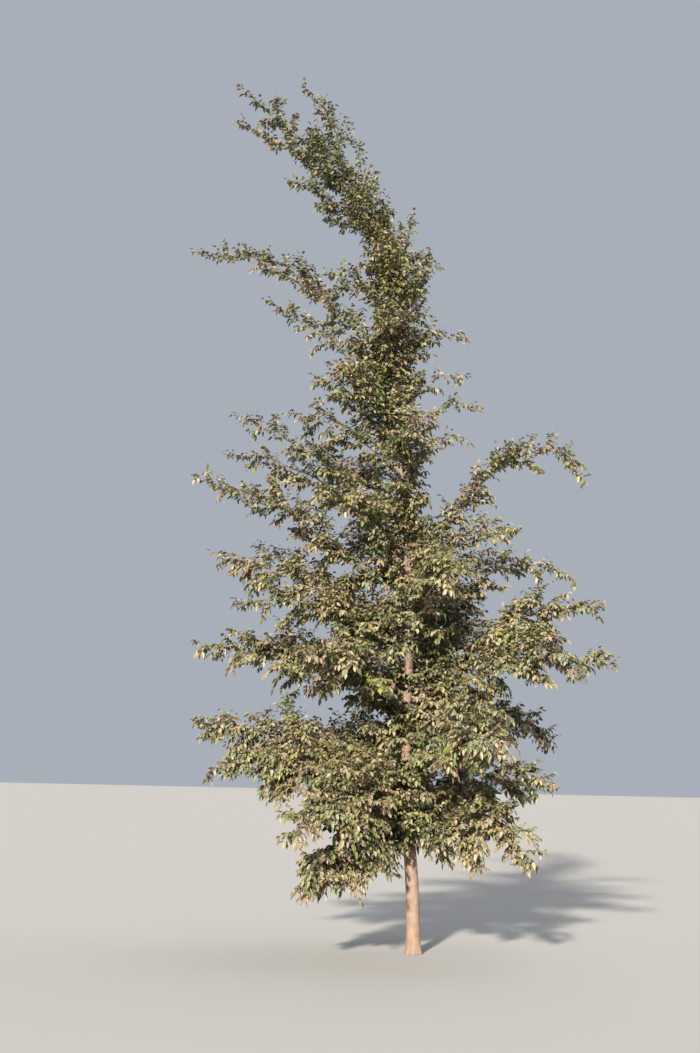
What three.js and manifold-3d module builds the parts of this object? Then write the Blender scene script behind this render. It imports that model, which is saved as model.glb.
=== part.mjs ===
import * as THREE from "three";
import { mergeVertices } from "three/addons/utils/BufferGeometryUtils.js";
import Module from "manifold-3d";

// A young Chinese elm, rooted in the ground and swept by the wind. Millimetres, +Z up. The origin is the
// middle of the flat cut under the trunk. +X is the right-hand side of the crown seen from its front, and
// the front faces -Y.

const { degToRad: radians, lerp } = THREE.MathUtils;

// Driving sizes of the trunk
const TREE_HEIGHT = 9210;
const TRUNK_RADIUS = 68;
const TRUNK_TAPER = 1.25;
const TRUNK_TIP_RADIUS = 2;
const TRUNK_SIDES = 12;
const TRUNK_RINGS = 24;
const RING_CROWDING = 1.5;
const LEAN_STEP = 10;
const FLARE_WIDTH = 14;
const FLARE_HEIGHT = 80;
const FLARE_LOBES = 5;
const LOBE_DEPTH = 0.1;

// Course of the trunk: height, place to the right, place away from the front
const TRUNK_COURSE = [
  [0, 0, 0],
  [500, -10, 0],
  [1450, -75, 10],
  [2300, -90, 25],
  [3100, -72, 20],
  [3800, -100, 0],
  [4450, -150, -20],
  [5050, -235, -20],
  [5450, -275, -5],
  [6200, -258, 15],
  [6600, -265, 25],
  [7050, -375, 30],
  [7400, -490, 30],
  [7800, -720, 25],
  [8100, -945, 15],
  [8340, -1170, 0],
];

const TRUNK_TOP = TRUNK_COURSE[TRUNK_COURSE.length - 1][0];

// Limbs in front of and behind the trunk, which follow one rule from the lowest to the highest
const DEPTH_LIMBS = 8;
const DEPTH_RISE = 4550;
const DEPTH_CROWDING = 1.15;
const DEPTH_TURN = [32, 16];
const DEPTH_SWEEP = 25;
const DEPTH_REACH = [1850, 600];
const DEPTH_SLOPE = 0.9;
const DEPTH_LEAVES = [30, 55];
const DEPTH_ENDS = [-45, 15];
const DEPTH_SPREAD = [420, 250];

// The rows of the limbs that face one way, from the height of the lowest, more swept the higher they are
function depthRows(lowest, facing, sweep) {
  return Array.from({ length: DEPTH_LIMBS }, (_, i) => {
    const rise = i / (DEPTH_LIMBS - 1);
    const foot = lowest + DEPTH_RISE * Math.pow(rise, DEPTH_CROWDING);
    const turn = facing + sweep * rise + lerp(...DEPTH_TURN, rise) * (i % 2 ? 1 : -1);
    const reach = lerp(...DEPTH_REACH, rise * rise);
    const tip = foot + reach * DEPTH_SLOPE * rise;
    return [foot, turn, reach, tip, lerp(...DEPTH_LEAVES, rise), lerp(...DEPTH_ENDS, rise),
      lerp(...DEPTH_SPREAD, rise), false];
  });
}

// Limbs by group. Each row: height of its foot on the trunk, turn seen from above in degrees (0 is right,
// 90 is away from the front), level reach, height of its tip, angle at which it leaves the trunk, angle at
// which it ends, reach of its side shoots, and whether a bare bough carries its foliage.
const LIMBS = {
  left: [
    [930, 228, 1460, 670, 25, -50, 400, false],
    [1350, 168, 2230, 2190, 35, 5, 460, true],
    [1550, 205, 2000, 1700, 30, -15, 420, false],
    [2380, 183, 2090, 2940, 28, -5, 400, true],
    [2930, 208, 1850, 3260, 21, -20, 300, false],
    [3030, 165, 2160, 3990, 32, 15, 350, false],
    [3500, 192, 2230, 4610, 34, 20, 300, true],
    [3860, 160, 2140, 5110, 49, 5, 230, false],
    [4100, 186, 1780, 5320, 42, 20, 240, false],
    [4990, 215, 1000, 5620, 60, 25, 290, false],
    [5480, 200, 1410, 6460, 45, 25, 210, false],
    [5850, 172, 2230, 7300, 44, 2, 230, true],
    [6340, 190, 760, 6870, 64, 20, 280, false],
    [4760, 192, 1150, 5310, 38, 5, 270, false],
  ],
  right: [
    [970, 322, 1420, 930, 35, -50, 360, false],
    [1450, 350, 1410, 1630, 25, -25, 340, false],
    [2130, 25, 1700, 2040, 25, -50, 340, false],
    [2260, 325, 2280, 2670, 25, -20, 340, true],
    [2530, 345, 1930, 3300, 35, -10, 320, true],
    [2690, 28, 1730, 3140, 35, -5, 400, false],
    [2880, 8, 1700, 3700, 62, -40, 240, true],
    [3200, 335, 1150, 4070, 50, -30, 320, false],
    [3740, 352, 1790, 4610, 52, -70, 230, true],
    [4700, 15, 740, 5120, 48, -50, 120, false],
    [4990, 340, 910, 5340, 65, -35, 140, false],
    [5750, 10, 810, 6240, 62, -20, 180, false],
    [6410, 350, 430, 7010, 65, 20, 300, false],
    [5330, 345, 780, 5740, 58, -15, 160, false],
  ],
  front: depthRows(1150, 270, -DEPTH_SWEEP),
  back: depthRows(1120, 95, DEPTH_SWEEP),
  top: [
    [8335, 180, 850, 9105, 42, 38, 170, false],
    [7850, 185, 1290, 8620, 24, 15, 190, false],
    [7740, 165, 670, TREE_HEIGHT, 70, 50, 190, false],
    [7350, 200, 420, 8690, 75, 65, 130, false],
    [6950, 140, 250, 8230, 85, 80, 130, false],
    [7210, 195, 1020, 7880, 40, 15, 250, false],
    [6520, 20, 160, 7620, 80, 75, 240, false],
  ],
};

// Limbs, twigs and leaves
const LIMB_PULL = 0.38;
const ARCH_PULL = 0.5;
const ARCH_BEND = 120;
const LIMB_RADIUS = 3.5;
const LIMB_SLENDERNESS = 0.0042;
const LIMB_TIP_RADIUS = 8;
const LIMB_OF_TRUNK = 0.5;
const COLLAR = 0.3;
const COLLAR_LENGTH = 70;
const BOUGH_SHARE = 0.26;
const BOUGH_SIDES = 6;
const BOUGH_RINGS = 5;
const STEM_SIDES = 4;
const TWIG_SIDES = 3;
const RING_STEP = 360;
const LINE_SPANS = 14;
const TRUNK_SPANS = 60;
const EMERGENCE_STEP = 0.01;
const SHOOT_STEP = 221;
const SHOOT_TURN = 55;
const SHOOT_ANGLES = [42, 68];
const SHOOT_SIZES = [0.85, 1.15];
const SPRAY_REACH = 1.5;
const REACH_AT_FOOT = 0.45;
const REACH_GAIN = 2.2;
const REACH_AT_TIP = 0.32;
const REACH_LOSS = 1.6;
const ATTEMPTS = 5;
const RETRY_REACH = 0.9;
const TWIG_FOOT_RADIUS = 4;
const TWIG_RADIUS = 5.5;
const SHORTEST_TWIG = 44;
const LONGEST_LEAF = 430;
const LEAF_OF_SPREAD = 1.55;
const LEAF_SLIMNESS = 0.58;
const LEAF_THICKNESS = 10;
const LEAF_WIDEST = 0.45;
const LEAF_ROLL = 50;
const LEAF_SUNK = 1.5;
const LEAF_SIZES = [0.8, 1.1];
const SIDE_LEAF_PLACE = 0.6;
const SIDE_LEAF_SIZE = 0.9;
const DROOP = 1;
const LIFT = 0.3;

// Clearances
const GAP = 0.35;
const LEAST_GAP = 0.3;
const TRUNK_CLEARANCE = 40;
const SPACE_MARGIN = 8;
const HANG = 80;
const GROUND_CLEARANCE = 60;

// The steepest way that still has a level side of its own, and the numbers that the seeded draws run on
const LEAST_LEVEL = 0.05;
const DRAW_RANGE = 4294967296;
const DRAW_FACTOR = 1664525;
const DRAW_STEP = 1013904223;
const SEED_FACTOR = 7919;
const SEED_STEP = 17;

const UP = new THREE.Vector3(0, 0, 1);
const MERGE_DISTANCE = 0.001;
const AXIS_WIDTH = 1e-6;
const wasm = await Module();
wasm.setup();

// The same draws on every run, from a seed
function drawsFrom(seed) {
  let state = (seed * SEED_FACTOR + SEED_STEP) % DRAW_RANGE;
  return (low, high) => {
    state = (state * DRAW_FACTOR + DRAW_STEP) % DRAW_RANGE;
    return low + ((high - low) * state) / DRAW_RANGE;
  };
}

// Place of the trunk's middle at a height, on a smooth curve through its course
function slopeAt(index, axis) {
  const before = TRUNK_COURSE[Math.max(index - 1, 0)];
  const after = TRUNK_COURSE[Math.min(index + 1, TRUNK_COURSE.length - 1)];
  return (after[axis] - before[axis]) / (after[0] - before[0]);
}

function trunkPoint(height) {
  let index = 0;
  while (index < TRUNK_COURSE.length - 2 && TRUNK_COURSE[index + 1][0] < height) index += 1;
  const [from, to] = [TRUNK_COURSE[index], TRUNK_COURSE[index + 1]];
  const rise = to[0] - from[0];
  const t = (height - from[0]) / rise;
  const ease = t * t * (3 - 2 * t);
  const across = [1, 2].map((axis) => {
    const leaving = slopeAt(index, axis) * rise * t * (1 - t) * (1 - t);
    const arriving = slopeAt(index + 1, axis) * rise * t * t * (1 - t);
    return from[axis] * (1 - ease) + to[axis] * ease + leaving - arriving;
  });
  return new THREE.Vector3(across[0], across[1], height);
}

function trunkRadius(height) {
  const taper = Math.pow(Math.max(1 - height / TREE_HEIGHT, 0), TRUNK_TAPER);
  return TRUNK_RADIUS * taper + TRUNK_TIP_RADIUS + FLARE_WIDTH * Math.exp(-height / FLARE_HEIGHT);
}

// A solid from a closed three.js geometry
function solidOf(geometry) {
  geometry.deleteAttribute("normal");
  geometry.deleteAttribute("uv");
  const merged = mergeVertices(geometry, MERGE_DISTANCE);
  return new wasm.Manifold(
    new wasm.Mesh({
      numProp: 3,
      vertProperties: new Float32Array(merged.attributes.position.array),
      triVerts: new Uint32Array(merged.index.array),
    }),
  );
}

// A level direction square to a limb
function sideways(along) {
  const side = new THREE.Vector3().crossVectors(along, UP);
  return side.length() > LEAST_LEVEL ? side.normalize() : new THREE.Vector3(0, -1, 0);
}

// A limb's sections with the directions of their width and thickness, carried on from each section to the
// next, so that the limb twists only by its sections' own turns
function framed(sections) {
  let level = null;
  return sections.map(({ middle, along, turn = 0, halfWidth, halfThickness = halfWidth, lobe = 0 }) => {
    level = level ? level.clone().projectOnPlane(along).normalize() : sideways(along);
    const across = level.clone().applyAxisAngle(along, turn);
    const over = new THREE.Vector3().crossVectors(across, along);
    across.multiplyScalar(halfWidth);
    over.multiplyScalar(halfThickness);
    return { middle, across, over, lobe };
  });
}

// A closed limb through its sections, cut square at its end or drawn to a point
function loft(sections, sides, isPointed) {
  const frames = framed(sections);
  const last = frames.length - 1;
  const geometry = isPointed
    ? new THREE.ConeGeometry(1, 1, sides, last)
    : new THREE.CylinderGeometry(1, 1, 1, sides, last);
  const place = geometry.attributes.position;
  for (let i = 0; i < place.count; i += 1) {
    const [x, z] = [place.getX(i), place.getZ(i)];
    const { middle, across, over, lobe } = frames[Math.round((place.getY(i) + 0.5) * last)];
    const angle = Math.atan2(z, x);
    const out = Math.hypot(x, z) < AXIS_WIDTH ? 0 : 1 + lobe * Math.cos(FLARE_LOBES * angle);
    const point = middle
      .clone()
      .addScaledVector(across, out * Math.cos(angle))
      .addScaledVector(over, out * Math.sin(angle));
    place.setXYZ(i, point.x, point.y, point.z);
  }
  return solidOf(geometry);
}

// The trunk, its rings level at the ground and crowded towards the root flare
function trunkSolid(extra) {
  const rings = Array.from({ length: TRUNK_RINGS + 1 }, (_, i) => {
    const height = TRUNK_TOP * Math.pow(i / TRUNK_RINGS, RING_CROWDING);
    const above = trunkPoint(Math.min(height + LEAN_STEP, TRUNK_TOP));
    const below = trunkPoint(Math.max(height - LEAN_STEP, 0));
    return {
      middle: trunkPoint(height),
      along: height === 0 ? UP.clone() : above.sub(below).normalize(),
      halfWidth: trunkRadius(height) + extra,
      lobe: LOBE_DEPTH * Math.exp(-height / FLARE_HEIGHT),
    };
  });
  return loft(rings, TRUNK_SIDES, false);
}

// A limb's course: one curve from the trunk's middle to its tip
function limbCourse([foot, turn, reach, tip, leaves, ends]) {
  const from = trunkPoint(foot);
  const level = new THREE.Vector3(Math.cos(radians(turn)), Math.sin(radians(turn)), 0);
  const to = from.clone().addScaledVector(level, reach).setZ(tip);
  const pull = from.distanceTo(to) * (leaves - ends > ARCH_BEND ? ARCH_PULL : LIMB_PULL);
  const heading = (angle) =>
    level.clone().multiplyScalar(Math.cos(radians(angle))).addScaledVector(UP, Math.sin(radians(angle)));
  return new THREE.CubicBezierCurve3(
    from,
    from.clone().addScaledVector(heading(leaves), pull),
    to.clone().addScaledVector(heading(ends), -pull),
    to,
  );
}

// How near a point is to a line of points
const span = new THREE.Line3();
const nearest = new THREE.Vector3();
function distanceTo(line, point) {
  let least = Infinity;
  for (let i = 1; i < line.length; i += 1) {
    span.set(line[i - 1], line[i]).closestPointToPoint(point, true, nearest);
    least = Math.min(least, nearest.distanceTo(point));
  }
  return least;
}

// The share of its length at which a limb's course has come clear of the trunk
const trunkStep = TRUNK_TOP / TRUNK_SPANS;
const trunkLine = Array.from({ length: TRUNK_SPANS + 1 }, (_, i) => trunkPoint(i * trunkStep));
function emergence(course) {
  let share = 0;
  let point = course.getPointAt(0);
  while (distanceTo(trunkLine, point) < trunkRadius(Math.min(point.z, TRUNK_TOP)) + TRUNK_CLEARANCE) {
    share += EMERGENCE_STEP;
    point = course.getPointAt(share);
  }
  return share;
}

const limbs = Object.entries(LIMBS).flatMap(([group, rows]) =>
  rows.map((row, index) => {
    const course = limbCourse(row);
    const length = course.getLength();
    const thickest = trunkRadius(row[0]) * LIMB_OF_TRUNK;
    return {
      group,
      name: `${group}_${index + 1}`,
      seed: Math.round(row[0]),
      course,
      length,
      spread: row[6],
      leaf: Math.min(LONGEST_LEAF, LEAF_OF_SPREAD * row[6]),
      hasBough: row[7],
      radius: Math.min(LIMB_RADIUS + length * LIMB_SLENDERNESS, thickest),
      line: course.getSpacedPoints(LINE_SPANS).map((point) => point.addScaledVector(UP, -HANG)),
      emerges: emergence(course),
    };
  }),
);

// Radius of a limb at a share of its length, thicker where it leaves the trunk
function limbRadius(limb, share) {
  const collar = 1 + COLLAR * Math.exp(-Math.max(share * limb.length - TRUNK_RADIUS, 0) / COLLAR_LENGTH);
  return (LIMB_TIP_RADIUS + (limb.radius - LIMB_TIP_RADIUS) * (1 - share)) * collar;
}

function limbSection(limb, share) {
  return {
    middle: limb.course.getPointAt(share),
    along: limb.course.getTangentAt(share),
    halfWidth: limbRadius(limb, share),
  };
}

// A limb's own space: nearer to its own course than to any other, and above the ground
function isInSpace(limb, point) {
  if (point.z < GROUND_CLEARANCE) return false;
  const own = distanceTo(limb.line, point) + 2 * SPACE_MARGIN;
  return limbs.every((other) => other === limb || distanceTo(other.line, point) > own);
}

// The two sections that draw a limb out into the leaf at its end
function endLeaf(foot, along, roll, length) {
  const width = (LEAF_SLIMNESS * length) / 2;
  const widest = foot.clone().addScaledVector(along, LEAF_WIDEST * length);
  return [
    { middle: widest, along, turn: roll, halfWidth: width, halfThickness: LEAF_THICKNESS / 2 },
    { middle: foot.clone().addScaledVector(along, length), along, turn: roll, halfWidth: 0 },
  ];
}

// A spray of leaves as one ridged blade, its root sunk into the twig that carries it
function sideLeaf(root, along, roll, length) {
  const foot = root.clone().addScaledVector(along, -LEAF_SUNK);
  const corners = framed(endLeaf(foot, along, roll, length));
  const geometry = new THREE.SphereGeometry(1, TWIG_SIDES, 2).rotateY(Math.PI / 2);
  const place = geometry.attributes.position;
  for (let i = 0; i < place.count; i += 1) {
    const { middle, across, over } = corners[place.getY(i) > 0.5 ? 1 : 0];
    const point = place.getY(i) < -0.5 ? foot.clone() : middle.clone();
    point.addScaledVector(across, place.getX(i)).addScaledVector(over, place.getZ(i));
    place.setXYZ(i, point.x, point.y, point.z);
  }
  return solidOf(geometry);
}

// Side shoots get shorter towards both ends of a limb
function shootReach(share) {
  return Math.min(1, REACH_AT_FOOT + REACH_GAIN * share, REACH_AT_TIP + REACH_LOSS * (1 - share));
}

// The largest piece of a solid, without loose scraps or sealed hollows
function wholePiece(solid) {
  return solid.decompose().sort((a, b) => b.volume() - a.volume())[0];
}

// Whether a twig or leaf keeps to its limb's space and clear of what stands already
function isClear(limb, solid, others) {
  const { vertProperties } = solid.getMesh();
  for (let i = 0; i < vertProperties.length; i += 3) {
    if (!isInSpace(limb, new THREE.Vector3().fromArray(vertProperties, i))) return false;
  }
  return others.every((other) => solid.minGap(other, GAP) >= LEAST_GAP);
}

// The stem of a mass of foliage, which carries on from the trunk or from the end of its bough and is drawn
// out into the last leaf
function stemOf(limb) {
  const draw = drawsFrom(limb.seed);
  const from = limb.hasBough ? BOUGH_SHARE + GAP / limb.length : 0;
  const to = 1 - limb.leaf / limb.length;
  const rings = Math.ceil(((to - from) * limb.length) / RING_STEP);
  const sections = Array.from({ length: rings + 1 }, (_, i) => {
    return limbSection(limb, from + ((to - from) * i) / rings);
  });
  const end = sections[rings].middle;
  const ending = limb.course.getPointAt(1).sub(end);
  const roll = radians(draw(-LEAF_ROLL, LEAF_ROLL));
  const leaf = endLeaf(end, ending.clone().normalize(), roll, ending.length());
  const whole = loft([...sections, ...leaf], STEM_SIDES, true);
  // Shoots stand on the straight stretches between the stem's rings
  const pointAt = (share) => {
    const place = ((share - from) / (to - from)) * rings;
    const ring = Math.min(Math.floor(place), rings - 1);
    return sections[ring].middle.clone().lerp(sections[ring + 1].middle, place - ring);
  };
  const solid = limb.hasBough ? whole : wholePiece(whole.subtract(trunkClear));
  return { solid, pointAt, first: Math.max(from, limb.emerges), last: to };
}

// A mass of foliage: side shoots along its stem, and on every shoot a leaf at its end and one at its side
function foliageSolid(limb, others) {
  const draw = drawsFrom(limb.seed + 1);
  const roll = () => radians(draw(-LEAF_ROLL, LEAF_ROLL));
  const { solid, pointAt, first, last } = limb.stem;
  const parts = [solid];
  const shoots = Math.max(2, Math.round((limb.length * (last - first)) / SHOOT_STEP));
  for (let k = 0; k < shoots; k += 1) {
    const share = first + ((last - first) * (k + 0.5)) / shoots;
    for (let attempt = 0; attempt < ATTEMPTS; attempt += 1) {
      const along = limb.course.getTangentAt(share);
      const turn = radians(((k + attempt) % 2) * 180 + draw(-SHOOT_TURN, SHOOT_TURN));
      const out = sideways(along).applyAxisAngle(along, turn);
      const lean = radians(draw(...SHOOT_ANGLES));
      const heading = along.multiplyScalar(Math.cos(lean)).addScaledVector(out, Math.sin(lean));
      const onward = heading.clone().addScaledVector(UP, draw(-DROOP, LIFT)).normalize();
      const shrink = Math.pow(RETRY_REACH, attempt);
      const reach = limb.spread * SPRAY_REACH * shootReach(share) * draw(...SHOOT_SIZES) * shrink;
      const leaf = limb.leaf * draw(...LEAF_SIZES) * shrink;
      const twig = Math.max(reach - leaf, SHORTEST_TWIG);
      const foot = pointAt(share);
      const end = foot.clone().addScaledVector(heading, twig);
      const shoot = loft(
        [
          { middle: foot, along: heading, halfWidth: TWIG_FOOT_RADIUS },
          { middle: end, along: onward, halfWidth: TWIG_RADIUS },
          ...endLeaf(end, onward, roll(), leaf),
        ],
        TWIG_SIDES,
        true,
      );
      const side = sideways(onward).multiplyScalar(k % 2 ? 1 : -1);
      const outward = onward.add(side).addScaledVector(UP, draw(-DROOP, LIFT)).normalize();
      const root = foot.clone().lerp(end, SIDE_LEAF_PLACE);
      const beside = sideLeaf(root, outward, roll(), leaf * SIDE_LEAF_SIZE);
      if (!isClear(limb, shoot, others)) continue;
      parts.push(shoot);
      if (isClear(limb, beside, others)) parts.push(beside);
      break;
    }
  }
  return wholePiece(wasm.Manifold.union(parts));
}

// A bare bough from the trunk to where it enters its foliage
function boughSolid(limb) {
  const rings = Array.from({ length: BOUGH_RINGS + 1 }, (_, i) => {
    return limbSection(limb, (BOUGH_SHARE * i) / BOUGH_RINGS);
  });
  return wholePiece(loft(rings, BOUGH_SIDES, false).subtract(trunkClear));
}

const bark = new THREE.MeshStandardMaterial({ color: 0xb89a84, roughness: 0.85, metalness: 0 });
const leafGreen = new THREE.MeshStandardMaterial({ color: 0x6b6e42, roughness: 0.7, metalness: 0 });

// A named mesh whose own origin is at the foot of its limb
function meshOf(name, solid, foot, material) {
  const { vertProperties, triVerts } = solid.getMesh();
  const geometry = new THREE.BufferGeometry();
  geometry.setAttribute("position", new THREE.BufferAttribute(new Float32Array(vertProperties), 3));
  geometry.setIndex(new THREE.BufferAttribute(new Uint32Array(triVerts), 1));
  geometry.translate(-foot.x, -foot.y, -foot.z);
  geometry.computeVertexNormals();
  const mesh = new THREE.Mesh(geometry, material);
  mesh.name = name;
  mesh.position.copy(foot);
  return mesh;
}

const tree = new THREE.Group();
const trunk = trunkSolid(0);
const trunkClear = trunkSolid(GAP);
tree.add(meshOf("trunk", trunk, new THREE.Vector3(), bark));

const groups = {};
for (const group of Object.keys(LIMBS)) {
  groups[group] = new THREE.Group();
  tree.add(groups[group]);
}

const boughs = [];
for (const limb of limbs.filter(({ hasBough }) => hasBough)) {
  const solid = boughSolid(limb);
  boughs.push(solid);
  groups[limb.group].add(meshOf(`bough_${limb.name}`, solid, limb.course.getPoint(0), bark));
}

const masses = [];
for (const limb of limbs) limb.stem = stemOf(limb);
for (const limb of limbs) {
  const stems = limbs.filter((other) => other !== limb).map((other) => other.stem.solid);
  const solid = foliageSolid(limb, [trunk, ...boughs, ...stems, ...masses]);
  masses.push(solid);
  groups[limb.group].add(meshOf(`foliage_${limb.name}`, solid, limb.course.getPoint(0), leafGreen));
}

export default tree;
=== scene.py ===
import math
from typing import NamedTuple

import bpy
import numpy as np
from mathutils import Matrix


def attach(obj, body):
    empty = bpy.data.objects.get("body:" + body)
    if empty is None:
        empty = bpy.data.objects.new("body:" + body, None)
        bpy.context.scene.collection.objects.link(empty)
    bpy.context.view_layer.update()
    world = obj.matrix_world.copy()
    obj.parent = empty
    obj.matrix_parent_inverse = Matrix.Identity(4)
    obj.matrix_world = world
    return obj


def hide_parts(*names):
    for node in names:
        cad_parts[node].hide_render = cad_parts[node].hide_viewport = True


# A young Chinese elm, dressed with bark, boughs, twigs and leaves. Metres, +Z up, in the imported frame.
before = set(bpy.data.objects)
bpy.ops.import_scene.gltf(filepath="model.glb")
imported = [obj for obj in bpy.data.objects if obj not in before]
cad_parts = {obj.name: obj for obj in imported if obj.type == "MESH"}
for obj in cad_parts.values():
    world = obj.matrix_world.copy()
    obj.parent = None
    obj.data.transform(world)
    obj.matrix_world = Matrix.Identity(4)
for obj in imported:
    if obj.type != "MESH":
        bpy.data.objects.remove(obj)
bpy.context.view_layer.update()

UP = np.array((0.0, 0.0, 1.0))
RIGHT = np.array((1.0, 0.0, 0.0))
FRONT = np.array((0.0, -1.0, 0.0))

# Driving sizes of the trunk, the same as the solid's
TREE_HEIGHT = 9.21
TRUNK_RADIUS = 0.068
TRUNK_TAPER = 1.25
TRUNK_TIP_RADIUS = 0.002
FLARE_WIDTH = 0.014
FLARE_HEIGHT = 0.08
FLARE_LOBES = 5
LOBE_DEPTH = 0.1

# Course of the trunk: height, place to the right, place away from the front
TRUNK_COURSE = np.array([
    (0.00, 0.000, 0.000),
    (0.50, -0.010, 0.000),
    (1.45, -0.075, 0.010),
    (2.30, -0.090, 0.025),
    (3.10, -0.072, 0.020),
    (3.80, -0.100, 0.000),
    (4.45, -0.150, -0.020),
    (5.05, -0.235, -0.020),
    (5.45, -0.275, -0.005),
    (6.20, -0.258, 0.015),
    (6.60, -0.265, 0.025),
    (7.05, -0.375, 0.030),
    (7.40, -0.490, 0.030),
    (7.80, -0.720, 0.025),
    (8.10, -0.945, 0.015),
    (8.34, -1.170, 0.000),
])
TRUNK_TOP = TRUNK_COURSE[-1, 0]

# Limbs in front of and behind the trunk, which follow one rule from the lowest to the highest
DEPTH_LIMBS = 8
DEPTH_RISE = 4.55
DEPTH_CROWDING = 1.15
DEPTH_TURN = (32, 16)
DEPTH_SWEEP = 25
DEPTH_REACH = (1.85, 0.6)
DEPTH_SLOPE = 0.9
DEPTH_LEAVES = (30, 55)
DEPTH_ENDS = (-45, 15)
DEPTH_SPREAD = (0.42, 0.25)


def between(pair, share):
    return pair[0] + (pair[1] - pair[0]) * share


class Limb(NamedTuple):
    """A limb's measures. Angles are in degrees. A turn is seen from above: 0 is right, 90 is to the back."""

    foot: float
    turn: float
    reach: float
    tip: float
    leaves_at: float
    ends_at: float
    spread: float

    @property
    def seed(self):
        """The limb's own seed: the height of its foot in millimetres."""
        return round(self.foot * 1000)


def depth_rows(lowest, facing, sweep):
    """Rows of the limbs that face one way, from the lowest one's height, swept more the higher they are."""
    rows = []
    for i in range(DEPTH_LIMBS):
        rise = i / (DEPTH_LIMBS - 1)
        foot = lowest + DEPTH_RISE * rise**DEPTH_CROWDING
        reach = between(DEPTH_REACH, rise * rise)
        turn = facing + sweep * rise + between(DEPTH_TURN, rise) * (1 if i % 2 else -1)
        tip = foot + reach * DEPTH_SLOPE * rise
        shape = (between(DEPTH_LEAVES, rise), between(DEPTH_ENDS, rise), between(DEPTH_SPREAD, rise))
        rows.append((foot, turn, reach, tip, *shape))
    return rows


# Limbs by group, the same as the solids'. Each row: height of its foot on the trunk, turn, level reach,
# height of its tip, angle at which it leaves the trunk, angle at which it ends, reach of its side shoots
LIMB_ROWS = {
    "left": [
        (0.93, 228, 1.46, 0.67, 25, -50, 0.40),
        (1.35, 168, 2.23, 2.19, 35, 5, 0.46),
        (1.55, 205, 2.00, 1.70, 30, -15, 0.42),
        (2.38, 183, 2.09, 2.94, 28, -5, 0.40),
        (2.93, 208, 1.85, 3.26, 21, -20, 0.30),
        (3.03, 165, 2.16, 3.99, 32, 15, 0.35),
        (3.50, 192, 2.23, 4.61, 34, 20, 0.30),
        (3.86, 160, 2.14, 5.11, 49, 5, 0.23),
        (4.10, 186, 1.78, 5.32, 42, 20, 0.24),
        (4.99, 215, 1.00, 5.62, 60, 25, 0.29),
        (5.48, 200, 1.41, 6.46, 45, 25, 0.21),
        (5.85, 172, 2.23, 7.30, 44, 2, 0.23),
        (6.34, 190, 0.76, 6.87, 64, 20, 0.28),
        (4.76, 192, 1.15, 5.31, 38, 5, 0.27),
    ],
    "right": [
        (0.97, 322, 1.42, 0.93, 35, -50, 0.36),
        (1.45, 350, 1.41, 1.63, 25, -25, 0.34),
        (2.13, 25, 1.70, 2.04, 25, -50, 0.34),
        (2.26, 325, 2.28, 2.67, 25, -20, 0.34),
        (2.53, 345, 1.93, 3.30, 35, -10, 0.32),
        (2.69, 28, 1.73, 3.14, 35, -5, 0.40),
        (2.88, 8, 1.70, 3.70, 62, -40, 0.24),
        (3.20, 335, 1.15, 4.07, 50, -30, 0.32),
        (3.74, 352, 1.79, 4.61, 52, -70, 0.23),
        (4.70, 15, 0.74, 5.12, 48, -50, 0.12),
        (4.99, 340, 0.91, 5.34, 65, -35, 0.14),
        (5.75, 10, 0.81, 6.24, 62, -20, 0.18),
        (6.41, 350, 0.43, 7.01, 65, 20, 0.30),
        (5.33, 345, 0.78, 5.74, 58, -15, 0.16),
    ],
    "front": depth_rows(1.15, 270, -DEPTH_SWEEP),
    "back": depth_rows(1.12, 95, DEPTH_SWEEP),
    "top": [
        (8.335, 180, 0.85, 9.105, 42, 38, 0.17),
        (7.85, 185, 1.29, 8.62, 24, 15, 0.19),
        (7.74, 165, 0.67, TREE_HEIGHT, 70, 50, 0.19),
        (7.35, 200, 0.42, 8.69, 75, 65, 0.13),
        (6.95, 140, 0.25, 8.23, 85, 80, 0.13),
        (7.21, 195, 1.02, 7.88, 40, 15, 0.25),
        (6.52, 20, 0.16, 7.62, 80, 75, 0.24),
    ],
}
LIMBS = {group: [Limb(*row) for row in rows] for group, rows in LIMB_ROWS.items()}
ALL_LIMBS = [limb for limbs in LIMBS.values() for limb in limbs]

# Limbs. A limb that bends by more than the arch's angle is drawn out further.
LIMB_PULL = 0.38
ARCH_PULL = 0.5
ARCH_BEND = 120
LIMB_RADIUS = 0.0035
LIMB_SLENDERNESS = 0.0042
LIMB_TIP_RADIUS = 0.0022
LIMB_OF_TRUNK = 0.5
LIMB_SPANS = 44
LIMB_SIDES = 10
LIMB_ROOT = 0.3
LIMB_WOBBLE = 0.009
LIMB_WAVES = (3, 7, 12)
WAVE_STARTS = (0, 6)
COLLAR = 0.55
COLLAR_LENGTH = 0.05

# Side shoots of a limb: steps from the lowest limbs to the highest, places in a step, angles round the limb
# and from it, lengths by the limb's own spread, and how they shorten towards its foot and its tip
SHOOT_STEP = (0.041, 0.066)
SHOOT_SEED = 28
SHOOT_PLACES = (0.2, 0.8)
SHOOTS_CLEAR_OF_TRUNK = 0.08
SHOOT_TURN = 90
SHOOT_ANGLES = (34, 66)
SHOOT_SIZES = (0.5, 1.12)
SHOOT_TAPERS = ((0.75, 2.2), (0.24, 1.75))
SHOOT_RADIUS = 0.0027
SHOOT_SPANS = 4
SHOOT_BENDS = (-0.6, 0.4)
SPRAY_REACH = 1.26

# Hang of the side shoots, from the lowest limbs to the highest, and how much of it shows where they start
HANG = (-0.12, 0.42)
HANG_AT_FOOT = 0.3

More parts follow.
